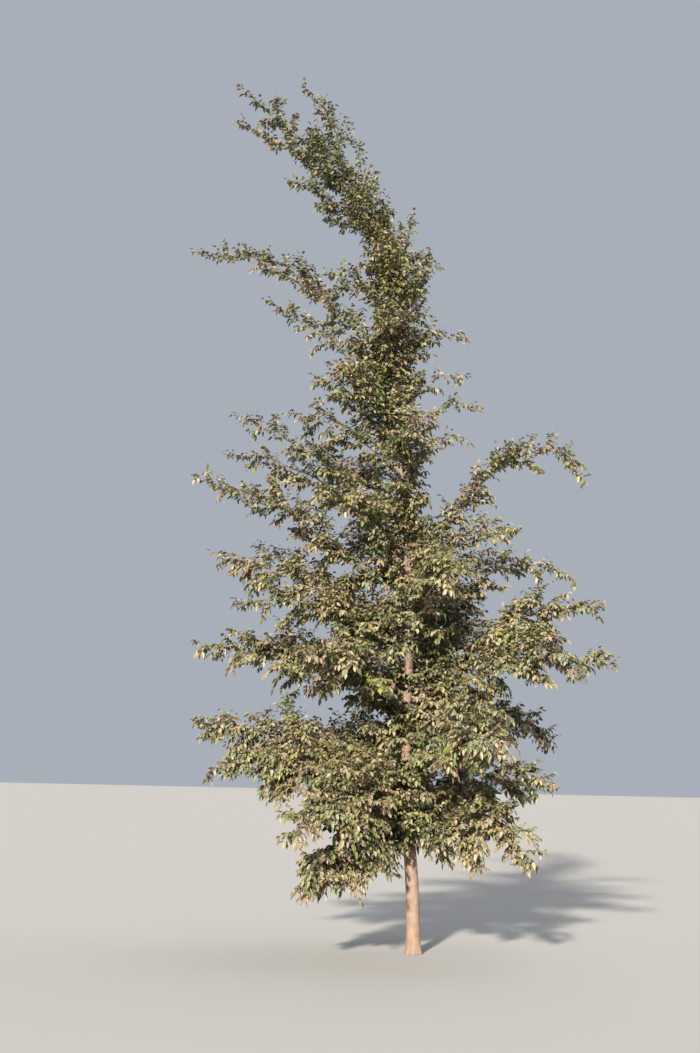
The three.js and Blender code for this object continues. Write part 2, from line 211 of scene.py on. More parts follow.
# Twigs of a shoot, in two rows: place of the first and stretch of the rest, angles from the shoot, lengths
# as shares of its own, slants to its side and over it, and bends up or down
TWIG_STEP = 0.027
TWIGS_FROM = 0.06
TWIGS_ALONG = 0.86
TWIG_ANGLES = (36, 66)
TWIG_OF_SHOOT = 0.5
TWIG_SHRINKS = 0.5
TWIG_SIZES = (0.5, 1.3)
TWIG_ASIDE = (0.6, 1.0)
TWIG_OVER = (-0.6, 0.6)
TWIG_BENDS = (-0.6, 0.35)
TWIG_HANG = 0.3
SHORTEST_TWIG = 0.035
TWIG_RADIUS = 0.0014
TWIG_TIP_RADIUS = 0.0006
TWIG_SPANS = 2
TWIG_SIDES = 3

# Leaves: steps along a twig, a shoot and a limb's tip, shares of their lengths that are bare, the one at the
# very tip, and how a leaf turns
LEAF_STEP = 0.0152
SHOOT_LEAF_STEP = LEAF_STEP * 1.15
LIMB_LEAF_STEP = LEAF_STEP * 1.6
PLACES_IN_STEP = (0.15, 0.85)
TWIG_BARE = 0.1
SHOOT_BARE = 0.2
LIMB_BARE = 0.8
LAST_LEAF_PLACE = 0.995
LAST_LEAF_FAN = 0.2
LEAF_LENGTH = 0.054
LEAF_SIZES = (0.62, 1.15)
LEAF_FAN = (30, 85)
LEAF_HANG = (-0.1, 0.95)
LEAF_ROLL = 58

# A leaf's own shape by its length: places and half widths of the outline's corners, depth of the fold along
# its rib, and least and most droop of its tip
LEAF_SHOULDER = (0.28, 0.28)
LEAF_WAIST = (0.68, 0.25)
LEAF_FOLD = 0.1
LEAF_CURL = (0.05, 0.42)

# Leaf tints, dealt out by spray: name, base colour, roughness, share of the sprays low and high in the
# crown. The shares make the low crown paler and warmer and the high crown darker and greener. This is partly
# the leaves' own colours and partly painted light: the low crown's sunlit look and the high crown's shade
# are painted into the tints.
TINTS = [
    ("khaki", (0.248, 0.214, 0.116), 0.50, 17, 2),
    ("straw_olive", (0.205, 0.175, 0.080), 0.50, 12, 6),
    ("olive", (0.156, 0.158, 0.060), 0.46, 18, 19),
    ("grey_green", (0.170, 0.180, 0.104), 0.46, 13, 14),
    ("dark_green", (0.070, 0.090, 0.036), 0.42, 9, 22),
    ("deep_olive", (0.115, 0.112, 0.046), 0.44, 9, 22),
    ("yellow_green", (0.200, 0.205, 0.055), 0.48, 3, 2),
    ("tan", (0.250, 0.192, 0.130), 0.55, 12, 2),
    ("bronze", (0.178, 0.126, 0.076), 0.50, 8, 8),
    ("brown", (0.145, 0.096, 0.060), 0.55, 6, 9),
    ("red_brown", (0.135, 0.062, 0.050), 0.50, 0, 0),
]
LEAF_GLOSS = 0.42
SPRAY_STRAYS = 0.3
LEAF_STRAYS = 0.4
# How the shares change from the low crown to the high crown. The change from paler low to darker high is
# partly painted light.
TOP_TINTS_POWER = 2.5
LOW_CROWN = 1.0
HIGH_CROWN = 8.0

# The last tint is kept for sprays near the tips of high limbs
TIP_TINT = len(TINTS) - 1
TIP_TINT_SHARE = 0.42
TIP_TINT_HEIGHT = 5.0
TIP_TINT_FROM = 0.85

# Uprights along the top of the two longest high limbs: shares of the limb, and their lengths
UPRIGHT_FEET = (5.85, 3.74)
UPRIGHT_SHARES = np.linspace(0.42, 0.86, 6)
UPRIGHT_LENGTHS = np.linspace(0.30, 0.16, 6)
UPRIGHT_SLANT = 0.5
UPRIGHT_STEEPNESS = 1.6

# Leafy shoots on the trunk itself: lengths by height, and how many times longer they are to the front and to
# the back, where the leader has no limbs
TRUNK_SHOOTS_FROM = 0.95
TRUNK_SHOOT_STEPS = (0.020, 0.037)
TRUNK_SHOOT_LENGTHS = np.array([
    (1.0, 0.46),
    (3.6, 0.42),
    (4.3, 0.24),
    (5.1, 0.21),
    (5.5, 0.38),
    (6.4, 0.30),
    (7.2, 0.24),
    (7.7, 0.26),
    (8.3, 0.25),
])
TRUNK_SHOOT_DEPTHS = np.array([
    (5.0, 1.0),
    (6.2, 1.9),
    (7.2, 1.9),
    (8.3, 1.6),
])
TRUNK_SHOOT_SIZES = (0.4, 1.2)
TRUNK_SHOOT_ANGLES = (38, 72)
TRUNK_SHOOT_BENDS = (-0.2, 0.3)
TRUNK_SHOOT_ROOT = 0.8
TRUNK_STRETCH = 0.02
GOLDEN_ANGLE = 137.5
TURN_STRAYS = (-20, 20)

# Place of the camera and way to the sun
CAMERA_PLACE = np.array((0.0, -13.558495, 1.57))
SUN_TURN = 258
SUN_HEIGHT = 21

# Stretches of the trunk that show through the crown, where leaves keep out of the sight and out of the sun.
# Up to the depth, away from the front, a leaf counts as before the trunk.
GLIMPSES = [
    (1.81, 2.00),
    (2.38, 2.50),
    (2.66, 2.90),
    (3.72, 3.86),
    (6.58, 6.72),
]
GLIMPSE_DEPTH = 0.05

# A direction whose level part is shorter than this counts as upright
LEAST_LEVEL = 0.05


def unit(v):
    return v / np.linalg.norm(v, axis=-1, keepdims=True)


def sideways(along):
    """Level directions square to one or many directions."""
    side = np.cross(along, UP)
    size = np.linalg.norm(side, axis=-1, keepdims=True)
    return np.where(size > LEAST_LEVEL, side / np.maximum(size, LEAST_LEVEL), FRONT)


def trunk_slopes():
    last = len(TRUNK_COURSE) - 1
    slopes = []
    for i in range(last + 1):
        before, after = TRUNK_COURSE[max(i - 1, 0)], TRUNK_COURSE[min(i + 1, last)]
        slopes.append((after[1:] - before[1:]) / (after[0] - before[0]))
    return np.array(slopes)


TRUNK_SLOPES = trunk_slopes()


def trunk_points(heights):
    """Places of the trunk's middle at some heights, on a smooth curve through its course."""
    heights = np.atleast_1d(np.asarray(heights, float))
    i = np.clip(np.searchsorted(TRUNK_COURSE[:, 0], heights, side="right") - 1, 0, len(TRUNK_COURSE) - 2)
    rise = (TRUNK_COURSE[i + 1, 0] - TRUNK_COURSE[i, 0])[:, None]
    t = (heights[:, None] - TRUNK_COURSE[i, :1]) / rise
    ease = t * t * (3 - 2 * t)
    leaving = TRUNK_SLOPES[i] * rise * t * (1 - t) ** 2
    arriving = TRUNK_SLOPES[i + 1] * rise * t * t * (1 - t)
    across = TRUNK_COURSE[i, 1:] * (1 - ease) + TRUNK_COURSE[i + 1, 1:] * ease + leaving - arriving
    return np.column_stack((across, heights))


def trunk_radius(height):
    taper = np.maximum(1 - height / TREE_HEIGHT, 0) ** TRUNK_TAPER
    return TRUNK_RADIUS * taper + TRUNK_TIP_RADIUS + FLARE_WIDTH * np.exp(-height / FLARE_HEIGHT)


def hides_trunk(points):
    """Which points are before a stretch of the trunk that shows, seen from the camera or from the sun."""
    scale = CAMERA_PLACE[1] / (CAMERA_PLACE[1] - points[:, 1])
    seen = CAMERA_PLACE + (points - CAMERA_PLACE) * scale[:, None]
    turn = math.radians(SUN_TURN)
    away = points - trunk_points(points[:, 2])
    nearer = away[:, 0] * math.cos(turn) + away[:, 1] * math.sin(turn)
    beside = away[:, 0] * math.sin(turn) - away[:, 1] * math.cos(turn)
    lit = points[:, 2] - nearer * math.tan(math.radians(SUN_HEIGHT))
    hides = np.zeros(len(points), bool)
    for height, off_middle, is_before in (
        (seen[:, 2], seen[:, 0] - trunk_points(seen[:, 2])[:, 0], points[:, 1] < GLIMPSE_DEPTH),
        (lit, beside, nearer > 0),
    ):
        is_over = is_before & (np.abs(off_middle) < trunk_radius(np.clip(height, 0, TRUNK_TOP)))
        for low, high in GLIMPSES:
            hides |= is_over & (height > low) & (height < high)
    return hides


class Course:
    """A line of points, read by the share of its length."""

    def __init__(self, points):
        self.points = points
        steps = np.linalg.norm(np.diff(points, axis=0), axis=1)
        self.reached = np.concatenate(((0.0,), np.cumsum(steps)))
        self.length = self.reached[-1]

    def at(self, shares):
        """Points and directions at shares of the length."""
        reach = np.atleast_1d(shares) * self.length
        i = np.clip(np.searchsorted(self.reached, reach, side="right") - 1, 0, len(self.points) - 2)
        step = self.points[i + 1] - self.points[i]
        part = (reach - self.reached[i]) / (self.reached[i + 1] - self.reached[i])
        return self.points[i] + step * part[:, None], unit(step)


def heading(level, degrees):
    angle = math.radians(degrees)
    return level * math.cos(angle) + UP * math.sin(angle)


def limb_course(limb):
    """A limb's course: one curve from the trunk's middle to its tip, with the slight kinks of growth."""
    start = trunk_points(limb.foot)[0]
    turn = math.radians(limb.turn)
    level = np.array((math.cos(turn), math.sin(turn), 0.0))
    end = start + level * limb.reach
    end[2] = limb.tip
    straight = np.linalg.norm(end - start)
    pull = straight * (ARCH_PULL if limb.leaves_at - limb.ends_at > ARCH_BEND else LIMB_PULL)
    near = start + heading(level, limb.leaves_at) * pull
    far = end - heading(level, limb.ends_at) * pull
    t = np.linspace(0, 1, LIMB_SPANS + 1)[:, None]
    line = (1 - t) ** 3 * start + 3 * (1 - t) ** 2 * t * near + 3 * (1 - t) * t * t * far + t**3 * end
    random = np.random.default_rng(limb.seed)
    for waves in LIMB_WAVES:
        swing = random.normal(size=3) * LIMB_WOBBLE * straight * LIMB_WAVES[0] / waves
        line += swing * np.sin(waves * math.pi * t + random.uniform(*WAVE_STARTS)) * np.sin(math.pi * t)
    return Course(line)


def limb_radius(limb, length, shares):
    """Radius of a limb at shares of its length, thicker where it leaves the trunk."""
    at_foot = min(LIMB_RADIUS + length * LIMB_SLENDERNESS, trunk_radius(limb.foot) * LIMB_OF_TRUNK)
    clear = np.maximum(shares * length - trunk_radius(limb.foot), 0)
    collar = 1 + COLLAR * np.exp(-clear / COLLAR_LENGTH)
    return (LIMB_TIP_RADIUS + (at_foot - LIMB_TIP_RADIUS) * (1 - shares)) * collar


def shoot_reach(share):
    """Side shoots get shorter towards both ends of a limb."""
    (at_foot, foot_rise), (at_tip, tip_rise) = SHOOT_TAPERS
    return np.minimum(1, np.minimum(at_foot + foot_rise * share, at_tip + tip_rise * (1 - share)))


def crown_share(heights):
    return np.clip((heights - LOW_CROWN) / (HIGH_CROWN - LOW_CROWN), 0, 1)


class Twigs:
    """Many twigs by arrays. Each is one curve that leaves in a direction and bends up or down."""

    def __init__(self, starts, directions, lengths, droops, foot_radius, spans):
        self.starts = starts
        self.lengths = lengths
        self.middles = starts + directions * lengths[:, None] / 2
        self.ends = starts + unit(directions + UP * droops[:, None]) * lengths[:, None]
        self.foot_radius = foot_radius
        self.spans = spans

    def at(self, which, shares):
        """Points and directions on some of the twigs, each at its own share."""
        t = shares[:, None]
        near, far = self.middles[which] - self.starts[which], self.ends[which] - self.middles[which]
        return self.starts[which] + (2 * t - t * t) * near + t * t * far, unit(near * (1 - t) + far * t)


def dealt_out(counts, random):
    """For counted pieces: whose each is, its number there, and its share of the way."""
    whose = np.repeat(np.arange(len(counts)), counts)
    number = np.arange(len(whose)) - np.repeat(np.cumsum(counts) - counts, counts)
    return whose, number, (number + random.uniform(*PLACES_IN_STEP, len(whose))) / counts[whose]


class Foliage:
    """The twigs and leaves of one side of the crown."""

    def __init__(self, name, seed):
        self.name = name
        self.random = np.random.default_rng(seed)
        self.twigs = []
        self.leaves = []

    def tints(self, heights):
        """Tints drawn for some heights, by the shares low and high in the crown: paler low and darker high,
        partly the leaves' own colours and partly painted light.
        """
        shares = crown_share(heights)[:, None] ** TOP_TINTS_POWER
        low, high = np.array([row[3:] for row in TINTS]).T
        sums = np.cumsum(low * (1 - shares) + high * shares, axis=1)
        draws = self.random.uniform(size=(len(heights), 1)) * sums[:, -1:]
        return (draws > sums).sum(axis=1)

    def strays(self, tints, heights, share):
        """Some of the tints changed for others."""
        return np.where(self.random.uniform(size=len(tints)) < share, self.tints(heights), tints)

    def add_leaves(self, twigs, tints, bare, step):
        """Two rows of leaves along twigs, past the share of them that is bare, and one leaf at the tip."""
        random = self.random
        counts = np.maximum(1, twigs.lengths * (1 - bare) / step).astype(int)
        whose, number, shares = dealt_out(counts, random)
        is_last = number == counts[whose] - 1
        points, alongs = twigs.at(whose, np.where(is_last, LAST_LEAF_PLACE, bare + (1 - bare) * shares))
        fans = np.radians(random.uniform(*LEAF_FAN, len(whose))) * np.where(is_last, LAST_LEAF_FAN, 1)
        rows = np.where((number + random.integers(2, size=len(counts))[whose]) % 2, 1.0, -1.0)
        across = sideways(alongs) * (rows * np.sin(fans))[:, None]
        hangs = random.uniform(*LEAF_HANG, len(whose))
        directions = unit(alongs * np.cos(fans)[:, None] + across - UP * hangs[:, None])
        tints = self.strays(tints[whose], points[:, 2], LEAF_STRAYS)
        kept = ~hides_trunk(points + directions * LEAF_LENGTH / 2)
        self.leaves.append((points[kept], directions[kept], tints[kept]))

    def add_shoots(self, starts, directions, lengths, droops, tints):
        """Side shoots with their twigs and leaves."""
        random = self.random
        shoots = Twigs(starts, directions, lengths, droops, SHOOT_RADIUS, SHOOT_SPANS)
        self.twigs.append(shoots)
        self.add_leaves(shoots, tints, SHOOT_BARE, SHOOT_LEAF_STEP)
        whose, number, shares = dealt_out((lengths / TWIG_STEP).astype(int), random)
        shares = TWIGS_FROM + TWIGS_ALONG * shares
        own = lengths[whose] * TWIG_OF_SHOOT * (1 - TWIG_SHRINKS * shares)
        own *= random.uniform(*TWIG_SIZES, len(whose))
        kept = own > SHORTEST_TWIG
        whose, number, shares, own = whose[kept], number[kept], shares[kept], own[kept]
        count = len(whose)
        points, alongs = shoots.at(whose, shares)
        sides = sideways(alongs) * np.where((number + whose) % 2, 1.0, -1.0)[:, None]
        overs = np.cross(sides, alongs)
        outs = sides * random.uniform(*TWIG_ASIDE, (count, 1))
        outs = unit(outs + overs * random.uniform(*TWIG_OVER, (count, 1)))
        leans = np.radians(random.uniform(*TWIG_ANGLES, (count, 1)))
        bends = random.uniform(*TWIG_BENDS, count) + TWIG_HANG * droops[whose]
        directions = alongs * np.cos(leans) + outs * np.sin(leans)
        twigs = Twigs(points, directions, own, bends, TWIG_RADIUS, TWIG_SPANS)
        self.twigs.append(twigs)
        self.add_leaves(twigs, self.strays(tints[whose], points[:, 2], SPRAY_STRAYS), TWIG_BARE, LEAF_STEP)

    def grow_limb(self, limb):
        """The side shoots of one limb, on both its sides, from a seed of the limb's own."""
        random = self.random = np.random.default_rng(limb.seed + SHOOT_SEED)
        course = limb_course(limb)
        clear = (trunk_radius(limb.foot) + SHOOTS_CLEAR_OF_TRUNK) / course.length
        step = between(SHOOT_STEP, crown_share(course.points[:, 2].mean()))
        count = round(course.length * (1 - clear) / step)
        number = np.arange(count)
        shares = clear + (1 - clear) * (number + random.uniform(*SHOOT_PLACES, count)) / count
        points, alongs = course.at(shares)
        turns = np.radians(random.uniform(-SHOOT_TURN, SHOOT_TURN, (count, 1)))
        sides = sideways(alongs) * np.where(number % 2, 1.0, -1.0)[:, None]
        outs = sides * np.cos(turns) + np.cross(sides, alongs) * np.sin(turns)
        leans = np.radians(random.uniform(*SHOOT_ANGLES, (count, 1)))
        hangs = between(HANG, crown_share(points[:, 2]))
        lifts = UP * hangs[:, None] * HANG_AT_FOOT
        directions = unit(alongs * np.cos(leans) + outs * np.sin(leans) + lifts)
        lengths = limb.spread * SPRAY_REACH * shoot_reach(shares) * random.uniform(*SHOOT_SIZES, count)
        tints = self.tints(points[:, 2])
        is_tip = (shares > TIP_TINT_FROM) & (points[:, 2] > TIP_TINT_HEIGHT)
        tints = np.where(is_tip & (random.uniform(size=count) < TIP_TINT_SHARE), TIP_TINT, tints)
        self.add_shoots(points, directions, lengths, hangs + random.uniform(*SHOOT_BENDS, count), tints)
        if limb.foot in UPRIGHT_FEET:
            self.add_uprights(course)
        self.add_tip_leaves(course)

    def add_uprights(self, course):
        """Short shoots that stand up along the top of a limb."""
        points, alongs = course.at(UPRIGHT_SHARES)
        directions = unit(alongs * UPRIGHT_SLANT + UP * UPRIGHT_STEEPNESS)
        droops = np.zeros(len(points))
        self.add_shoots(points, directions, UPRIGHT_LENGTHS, droops, self.tints(points[:, 2]))

    def add_tip_leaves(self, course):
        """Leaves on a limb's own last stretch, as on a straight shoot."""
        ends, _ = course.at((LIMB_BARE, 1.0))
        stretch = ends[1:] - ends[:1]
        tip = Twigs(ends[:1], unit(stretch), np.linalg.norm(stretch, axis=1), np.zeros(1), 0, 0)
        self.add_leaves(tip, self.tints(ends[1:, 2]), 0, LIMB_LEAF_STEP)

    def grow_trunk_shoots(self):
        """Leafy shoots that stand on the trunk itself, turned by the golden angle."""
        random = self.random
        count = int((TRUNK_TOP - TRUNK_SHOOTS_FROM) / np.mean(TRUNK_SHOOT_STEPS))
        heights = TRUNK_SHOOTS_FROM + np.cumsum(np.linspace(*TRUNK_SHOOT_STEPS, count))
        above = trunk_points(np.minimum(heights + TRUNK_STRETCH, TRUNK_TOP))
        alongs = unit(above - trunk_points(heights - TRUNK_STRETCH))
        angles = np.radians(np.arange(count) * GOLDEN_ANGLE + random.uniform(*TURN_STRAYS, count))
        outs = np.column_stack((np.cos(angles), np.sin(angles), np.zeros(count)))
        outs = unit(outs - alongs * (outs * alongs).sum(axis=1, keepdims=True))
        leans = np.radians(random.uniform(*TRUNK_SHOOT_ANGLES, (count, 1)))
        directions = alongs * np.cos(leans) + outs * np.sin(leans)
        starts = trunk_points(heights) + outs * trunk_radius(heights)[:, None] * TRUNK_SHOOT_ROOT
        droops = between(HANG, crown_share(heights)) + random.uniform(*TRUNK_SHOOT_BENDS, count)
        lengths = np.interp(heights, *TRUNK_SHOOT_LENGTHS.T) * random.uniform(*TRUNK_SHOOT_SIZES, count)
        lengths *= 1 + (np.interp(heights, *TRUNK_SHOOT_DEPTHS.T) - 1) * outs[:, 1] ** 2
        self.add_shoots(starts, directions, lengths, droops, self.tints(heights))


def grow_crown():
    crown = [Foliage(name, seed) for seed, name in enumerate([*LIMBS, "trunk"], 1)]
    for foliage in crown:
        for limb in LIMBS.get(foliage.name, []):
            foliage.grow_limb(limb)
    crown[-1].grow_trunk_shoots()
    return crown


# Meshes from arrays
def mesh_piece(name, points, faces, slot, materials, kinds=None):
    """A piece that rides on the root body. Kinds are the faces' places in the list of materials."""
    mesh = bpy.data.meshes.new(name)
    mesh.vertices.add(len(points))
    mesh.vertices.foreach_set("co", np.ascontiguousarray(points, np.float32).ravel())
    mesh.loops.add(faces.size)
    mesh.loops.foreach_set("vertex_index", np.ascontiguousarray(faces, np.int32).ravel())
    mesh.polygons.add(len(faces))
    mesh.polygons.foreach_set("loop_start", np.arange(0, faces.size, faces.shape[1], dtype=np.int32))
    for material in materials:
        mesh.materials.append(material)
    if kinds is not None:
        mesh.polygons.foreach_set("material_index", np.ascontiguousarray(kinds, np.int32))
    mesh.update(calc_edges=True)
    mesh.validate()
    mesh.shade_smooth()
    piece = bpy.data.objects.new(name, mesh)
    bpy.context.collection.objects.link(piece)
    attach(piece, "root")
    return piece


def square_to(lines):
    """Two directions square to many lines of as many points each, at their points."""
    steps = np.diff(lines, axis=1)
    bends = unit(steps[:, 1:]) + unit(steps[:, :-1])
    alongs = unit(np.concatenate((steps[:, :1], bends, steps[:, -1:]), axis=1))
    sides = sideways(alongs)
    for i in range(1, lines.shape[1]):
        before, along = sides[:, i - 1], alongs[:, i]
        sides[:, i] = unit(before - along * (before * along).sum(axis=1, keepdims=True))
    return sides, np.cross(alongs, sides)


def tube_faces(rings, sides):
    """Triangles of a closed tube: its walls, the fan to the one point of its tip, and its flat foot."""
    i, k = np.meshgrid(np.arange(rings - 1), np.arange(sides), indexing="ij")
    low, next_low = i * sides + k, i * sides + (k + 1) % sides
    high, next_high = low + sides, next_low + sides
    walls = np.stack((low, next_low, next_high, low, next_high, high), -1).reshape(-1, 3)
    last = (rings - 1) * sides + np.arange(sides)
    tip = np.stack((last, np.roll(last, -1), np.full(sides, rings * sides)), -1)
    foot = np.array([(0, k + 1, k) for k in range(1, sides - 1)])
    return np.concatenate((walls, tip, foot))


def around(sides):
    """Angles of the corners of a ring."""
    return np.arange(sides) * 2 * math.pi / sides


def tubes(lines, radii, sides):
    """Closed tubes of triangles along many lines, each cut flat at its foot and pointed at its tip."""
    count, rings = lines.shape[0], lines.shape[1] - 1
    across, over = square_to(lines)
    angles = around(sides)
    ring = across[:, :, None] * np.cos(angles)[:, None] + over[:, :, None] * np.sin(angles)[:, None]
    walls = lines[:, :-1, None] + ring[:, :-1] * radii[:, :-1, None, None]
    points = np.concatenate((walls.reshape(count, -1, 3), lines[:, -1:]), axis=1)
    starts = (np.arange(count) * points.shape[1])[:, None, None]
    return points.reshape(-1, 3), (tube_faces(rings, sides) + starts).reshape(-1, 3)


def joined(parts):
    """One mesh from several, as points and faces."""
    starts = np.cumsum([0] + [len(points) for points, _ in parts[:-1]])
    return (
        np.concatenate([points for points, _ in parts]),
        np.concatenate([faces + start for (_, faces), start in zip(parts, starts)]),
    )


def twig_mesh(foliage):
    parts = []
    for twigs in foliage.twigs:
        count = len(twigs.lengths)
        shares = np.linspace(0, 1, twigs.spans + 1)
        which = np.repeat(np.arange(count), len(shares))
        points, _ = twigs.at(which, np.tile(shares, count))
        radii = twigs.foot_radius + (TWIG_TIP_RADIUS - twigs.foot_radius) * shares
        parts.append(tubes(points.reshape(count, -1, 3), np.tile(radii, (count, 1)), TWIG_SIDES))
    return joined(parts)


def leaf_mesh(foliage):
    """Every leaf as four faces, folded along its rib: two corners on each side, and a drooping tip."""
    points, directions, tints = (np.concatenate(part) for part in zip(*foliage.leaves))
    random = foliage.random
    count = len(points)
    widths = sideways(directions)
    ups = np.cross(widths, directions)
    rolls = np.radians(random.uniform(-LEAF_ROLL, LEAF_ROLL, (count, 1)))
    cosines, sines = np.cos(rolls), np.sin(rolls)
    widths, ups = widths * cosines + ups * sines, ups * cosines - widths * sines
    sizes = LEAF_LENGTH * random.uniform(*LEAF_SIZES, count)
    (near, near_width), (far, far_width) = LEAF_SHOULDER, LEAF_WAIST
    outline = np.array((
        (0, 0, 0),
        (near, -near_width, LEAF_FOLD),
        (near, near_width, LEAF_FOLD),
        (far, -far_width, LEAF_FOLD),
        (far, far_width, LEAF_FOLD),
        (1, 0, 0),
    ))
    axes = np.stack((directions, widths, ups), axis=1) * sizes[:, None, None]
    corners = points[:, None] + outline @ axes
    corners[:, :, 2] -= (sizes * random.uniform(*LEAF_CURL, count))[:, None] * outline[:, 0] ** 2
    leaf_faces = np.array(((0, 3, 1), (0, 5, 3), (0, 4, 5), (0, 2, 4)))
    faces = (leaf_faces + (np.arange(count) * len(outline))[:, None, None]).reshape(-1, 3)
    return corners.reshape(-1, 3), faces, np.repeat(tints, len(leaf_faces))


# Relief of the bark: ridges that run up the trunk, as waves round it and up it. The more waves a ridge has,
# the shallower it is.
RELIEF_SEED = 20
RIDGES = 26
RIDGE_DEPTH = 0.0011
RIDGE_WAVES_ROUND = (2, 14)
RIDGE_WAVES_UP = (-9, 9)
RIDGE_SIZES = (0.3, 1)
RIDGE_WEIGHT = 3
RIDGE_WEIGHT_WAVES = 2
RIDGE_SWING = 1.2
RIDGE_SWING_WAVES = 3

# Swellings where limbs leave, by the limb's radius
SWELL_HEIGHT = 0.55
SWELL_RISE = 0.8
SWELL_UP = 1.5
SWELL_ROUND = 1.3

# Scars of pruned limbs on the clear trunk: height, turn, radius
SCARS = [
    (0.36, 205, 0.017),
    (0.55, 95, 0.014),
    (0.66, 300, 0.019),
    (0.79, 262, 0.015),
    (0.83, 20, 0.013),
]

# A scar's squat shape, and the height and sharpness of its rim and of the dimple inside it, by its radius
SCAR_SQUAT = 0.8
SCAR_RIM = (0.30, 6)
SCAR_DIMPLE = (0.18, 5)

# Rings and corners of the trunk's mesh, closer together near the ground, and the length of its pointed tip
TRUNK_RINGS = 460
TRUNK_SIDES = 44
RING_CROWDING = 1.15
TRUNK_POINT = 0.05


def turned_from(angles, degrees):
    """Angles round the trunk as seen from one turn, from minus half a turn to half a turn."""
    return (angles - math.radians(degrees) + math.pi) % (2 * math.pi) - math.pi


def bark_ridges(heights, angles):
    random = np.random.default_rng(RELIEF_SEED)
    relief = np.zeros_like(heights + angles)
    for _ in range(RIDGES):
        waves, up_waves = random.integers(*RIDGE_WAVES_ROUND), random.uniform(*RIDGE_WAVES_UP)
        swing = RIDGE_SWING * np.sin(RIDGE_SWING_WAVES * heights + waves)
        wave = np.sin(waves * angles + up_waves * heights + random.uniform(*WAVE_STARTS) + swing)
        relief += wave * random.uniform(*RIDGE_SIZES) * RIDGE_WEIGHT / (RIDGE_WEIGHT_WAVES + waves)
    return relief * RIDGE_DEPTH * trunk_radius(heights) / TRUNK_RADIUS


def limb_swellings(heights, angles):
    relief = np.zeros_like(heights + angles)
    for limb in ALL_LIMBS:
        radius = trunk_radius(limb.foot)
        size = limb_radius(limb, limb_course(limb).length, 0.0)
        rise = heights - limb.foot - radius * math.tan(math.radians(limb.leaves_at)) * SWELL_RISE
        beside = turned_from(angles, limb.turn) * radius
        away = (rise / (SWELL_UP * size)) ** 2 + (beside / (SWELL_ROUND * size)) ** 2
        relief += SWELL_HEIGHT * size * np.exp(-away)
    return relief


def scars(heights, angles):
    relief = np.zeros_like(heights + angles)
    (rim, rim_sharpness), (dimple, dimple_sharpness) = SCAR_RIM, SCAR_DIMPLE
    for height, turn, size in SCARS:
        away = np.hypot((heights - height) / SCAR_SQUAT, turned_from(angles, turn) * TRUNK_RADIUS) / size
        relief += size * rim * np.exp(-((away - 1) ** 2) * rim_sharpness)
        relief -= size * dimple * np.exp(-(away**2) * dimple_sharpness)
    return relief


def trunk_mesh():
    """The trunk with its flare, the swellings under its limbs and the relief of its bark."""
    rings = TRUNK_TOP * np.linspace(0, 1, TRUNK_RINGS) ** RING_CROWDING
    heights = np.append(rings, TRUNK_TOP + TRUNK_POINT)
    middles = trunk_points(np.minimum(heights, TRUNK_TOP))
    alongs = unit(np.gradient(middles[:-1], axis=0))
    middles[-1] += alongs[-1] * TRUNK_POINT
    alongs = np.vstack((alongs, alongs[-1:]))
    alongs[0] = UP
    across = unit(RIGHT - alongs * alongs[:, :1])
    over = np.cross(alongs, across)
    h, a = heights[:, None], around(TRUNK_SIDES)[None]
    lobes = 1 + LOBE_DEPTH * np.cos(FLARE_LOBES * (a + math.pi / 2)) * np.exp(-h / FLARE_HEIGHT)
    relief = bark_ridges(h, a) + limb_swellings(h, a) + scars(h, a)
    width = (trunk_radius(h) * lobes + relief)[..., None]
    ring = across[:, None] * np.cos(a)[..., None] + over[:, None] * np.sin(a)[..., None]
    walls = middles[:, None] + ring * width
    walls[0, :, 2] = 0
    points = np.concatenate((walls[:-1].reshape(-1, 3), middles[-1:]))
    return points, tube_faces(TRUNK_RINGS, TRUNK_SIDES)


def bough_mesh():
    """All limbs as tapering tubes, each from inside the trunk to its tip."""
    parts = []
    for limb in ALL_LIMBS:
        course = limb_course(limb)
        shares = np.linspace(trunk_radius(limb.foot) * LIMB_ROOT / course.length, 1, LIMB_SPANS + 1)
        points, _ = course.at(shares)
        radii = limb_radius(limb, course.length, shares)
        parts.append(tubes(points[None], radii[None], LIMB_SIDES))
    return joined(parts)


# Materials
def material_of(name, colour, roughness):
    """A new material of one colour and roughness."""
    material = bpy.data.materials.new(name)
    material.use_nodes = True
    shader = material.node_tree.nodes["Principled BSDF"]
    shader.inputs["Base Color"].default_value = (*colour, 1)
    shader.inputs["Roughness"].default_value = roughness
    return material


def set_gloss(material, level):
    material.node_tree.nodes["Principled BSDF"].inputs["Specular IOR Level"].default_value = level


def noise(tree, coordinates, stretch, scale, detail):
    """Noise in the piece's own place, drawn out along its axes by stretch."""
    mapping = tree.nodes.new("ShaderNodeMapping")
    mapping.inputs["Scale"].default_value = stretch
    texture = tree.nodes.new("ShaderNodeTexNoise")
    texture.inputs["Scale"].default_value = scale
    texture.inputs["Detail"].default_value = detail
    tree.links.new(coordinates, mapping.inputs["Vector"])
    tree.links.new(mapping.outputs["Vector"], texture.inputs["Vector"])
    return texture.outputs["Fac"]


def ramp(tree, value, stops):
    node = tree.nodes.new("ShaderNodeValToRGB")
    elements = node.color_ramp.elements
    while len(elements) < len(stops):
        elements.new(0.5)
    for element, (place, colour) in zip(elements, stops):
        element.position = place
        element.color = (*colour, 1)
    tree.links.new(value, node.inputs["Fac"])
    return node.outputs["Color"]


def mix(tree, share, first, second):
    """Two colours mixed. The share and both colours are sockets or plain values."""
    node = tree.nodes.new("ShaderNodeMix")
    node.data_type = "RGBA"
    for socket, value in ((node.inputs[0], share), (node.inputs[6], first), (node.inputs[7], second)):
        if isinstance(value, bpy.types.NodeSocket):
            tree.links.new(value, socket)
        else:
            socket.default_value = value
    return node.outputs[2]


def grey(level):
    return (level, level, level)


